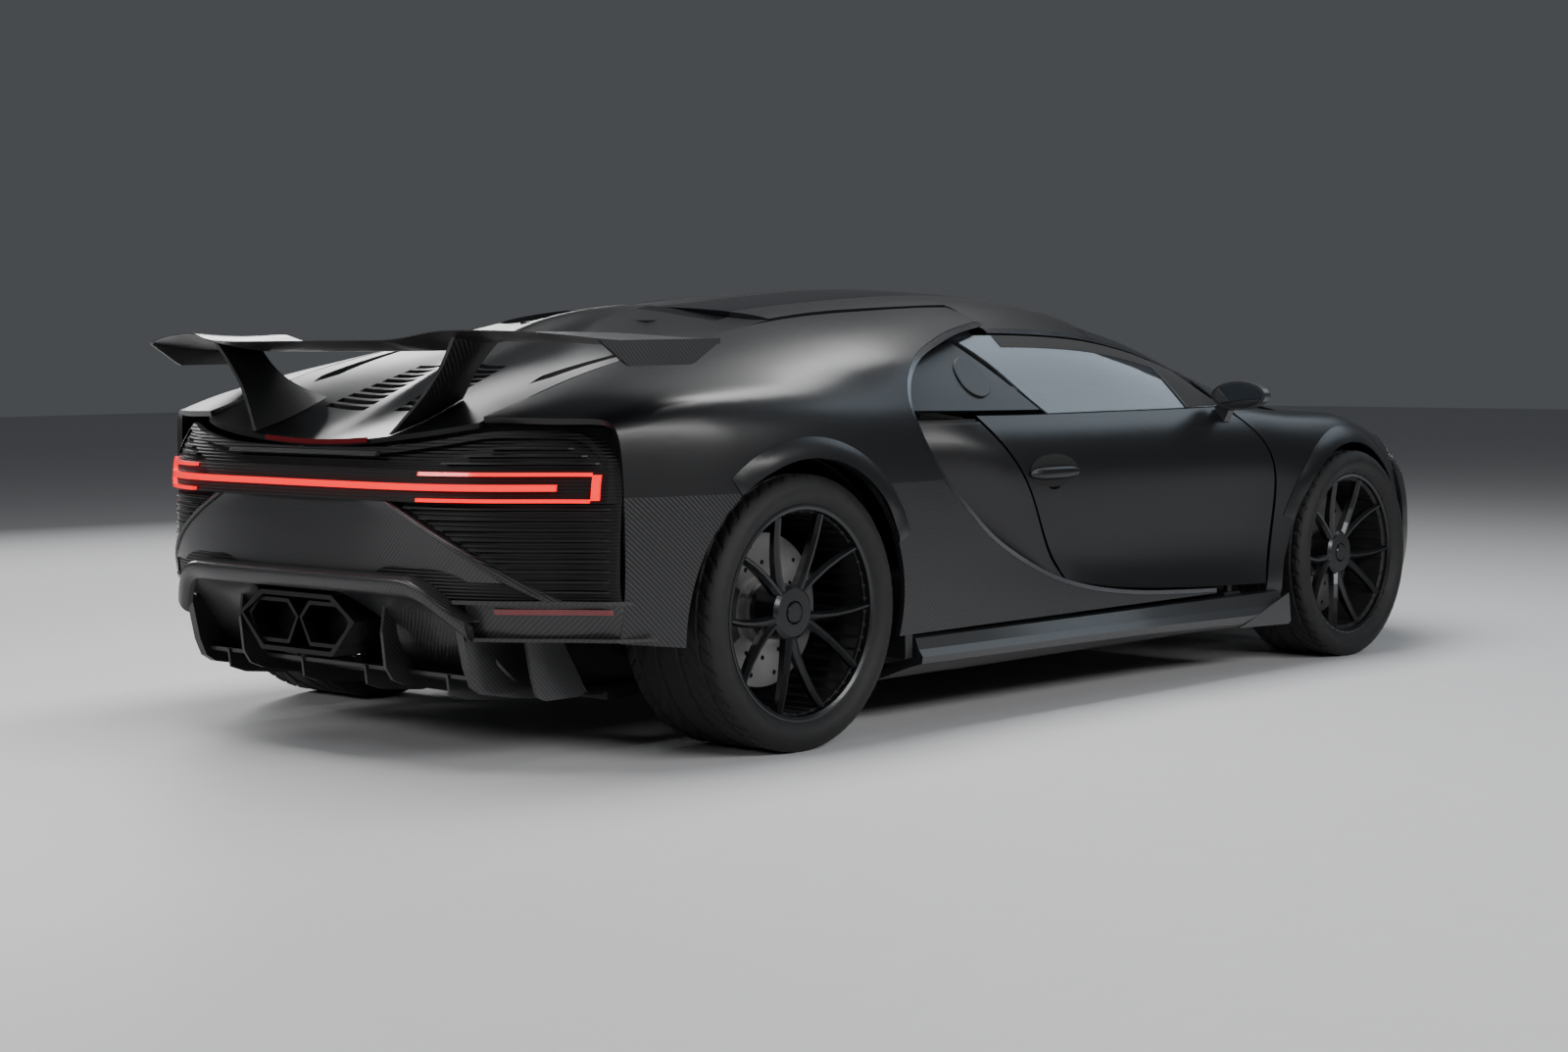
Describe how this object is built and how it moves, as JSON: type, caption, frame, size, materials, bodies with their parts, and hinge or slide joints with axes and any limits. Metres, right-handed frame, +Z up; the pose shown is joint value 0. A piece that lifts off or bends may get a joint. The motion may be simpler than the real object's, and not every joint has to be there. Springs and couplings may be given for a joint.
{
  "type": "hypercar",
  "caption": "Low mid-engined two-seat coupe with a fixed rear wing, sweeping side scoops, full-width tail light, deep diffuser, opening doors, front lid, and steered spinning wheels.",
  "frame": {"origin": "on the ground, below the middle of the car's length and width", "axes": "+X forward along the car, +Y to the car's left, +Z up"},
  "size_m": [4.5545, 2.1942, 1.2087],
  "materials": {
    "body_paint": "satin",
    "carbon_weave": "satin",
    "carbon_raw": "matte",
    "engine_metal": "satin",
    "tinted_glass": "gloss",
    "dark_mesh": "matte",
    "lamp_lens": "gloss",
    "black_plastic": "matte",
    "bright_trim": "satin",
    "tail_red": "gloss",
    "lens_red": "gloss",
    "exhaust_metal": "satin",
    "cast_links": "satin",
    "black_leather": "satin",
    "grip_leather": "satin",
    "tyre_rubber": "matte",
    "rim_metal": "satin",
    "disc_iron": "satin"
  },
  "bodies": {
    "chassis": {"tub": "carbon_raw", "engine": "engine_metal", "roof": "body_paint", "fixed_glass": "tinted_glass", "cheeks": "body_paint", "intakes": "body_paint", "arch_flares": "body_paint", "quarter_right": "body_paint", "quarter_left": "body_paint", "fender_right": "body_paint", "fender_left": "body_paint", "front_bumper": "body_paint", "front_grille": "dark_mesh", "headlamps": "lamp_lens", "splitter": "carbon_weave", "cowl": "black_plastic", "c_trim": "bright_trim", "skirts": "carbon_weave", "engine_cover": "body_paint", "tail_panel": "dark_mesh", "tail_blades": "dark_mesh", "tail_light": "tail_red", "red_lenses": "lens_red", "rear_bumper": "carbon_weave", "diffuser": "carbon_weave", "exhaust": "exhaust_metal", "wing": "carbon_weave", "wing_struts": "carbon_weave", "front_links": "cast_links", "rear_links": "cast_links", "seats": "black_leather", "dashboard": "black_leather", "steering_wheel": "grip_leather", "wheel_liners": "black_plastic"},
    "carrier_right": {"upright_front_right": "cast_links"},
    "carrier_left": {"upright_front_left": "cast_links"},
    "door_right": {"door_right": "body_paint", "door_glass_right": "tinted_glass", "mirror_right": "carbon_weave"},
    "door_left": {"door_left": "body_paint", "door_glass_left": "tinted_glass", "mirror_left": "carbon_weave"},
    "lid": {"front_lid": "body_paint"},
    "wheel_front_right": {"tyre_front_right": "tyre_rubber", "rim_front_right": "rim_metal", "disc_front_right": "disc_iron"},
    "wheel_front_left": {"tyre_front_left": "tyre_rubber", "rim_front_left": "rim_metal", "disc_front_left": "disc_iron"},
    "wheel_rear_right": {"tyre_rear_right": "tyre_rubber", "rim_rear_right": "rim_metal", "disc_rear_right": "disc_iron"},
    "wheel_rear_left": {"tyre_rear_left": "tyre_rubber", "rim_rear_left": "rim_metal", "disc_rear_left": "disc_iron"}
  },
  "joints": [
    {"name": "steer_right", "type": "hinge", "parent": "chassis", "child": "carrier_right", "pos_m": [1.302, -0.8, 0.3395], "axis": [0, 0, 1], "range_deg": [-30, 30]},
    {"name": "steer_left", "type": "hinge", "parent": "chassis", "child": "carrier_left", "pos_m": [1.302, 0.8, 0.3395], "axis": [0, 0, 1], "range_deg": [-30, 30]},
    {"name": "spin_front_right", "type": "hinge", "parent": "carrier_right", "child": "wheel_front_right", "pos_m": [1.302, -0.8745, 0.3395], "axis": [0, 1, 0], "continuous": true},
    {"name": "spin_front_left", "type": "hinge", "parent": "carrier_left", "child": "wheel_front_left", "pos_m": [1.302, 0.8745, 0.3395], "axis": [0, 1, 0], "continuous": true},
    {"name": "spin_rear_right", "type": "hinge", "parent": "chassis", "child": "wheel_rear_right", "pos_m": [-1.409, -0.833, 0.3555], "axis": [0, 1, 0], "continuous": true},
    {"name": "spin_rear_left", "type": "hinge", "parent": "chassis", "child": "wheel_rear_left", "pos_m": [-1.409, 0.833, 0.3555], "axis": [0, 1, 0], "continuous": true},
    {"name": "door_right_hinge", "type": "hinge", "parent": "chassis", "child": "door_right", "pos_m": [0.655, -0.925, 0.55], "axis": [0, 0, 1], "range_deg": [0, 55]},
    {"name": "door_left_hinge", "type": "hinge", "parent": "chassis", "child": "door_left", "pos_m": [0.655, 0.925, 0.55], "axis": [0, 0, -1], "range_deg": [0, 55]},
    {"name": "lid_hinge", "type": "hinge", "parent": "chassis", "child": "lid", "pos_m": [1.1, 0, 0.812], "axis": [0, -1, 0], "range_deg": [0, 50]}
  ],
  "couplings": [
    {"joint": "steer_left", "follows": "steer_right", "ratio": 1}
  ]
}
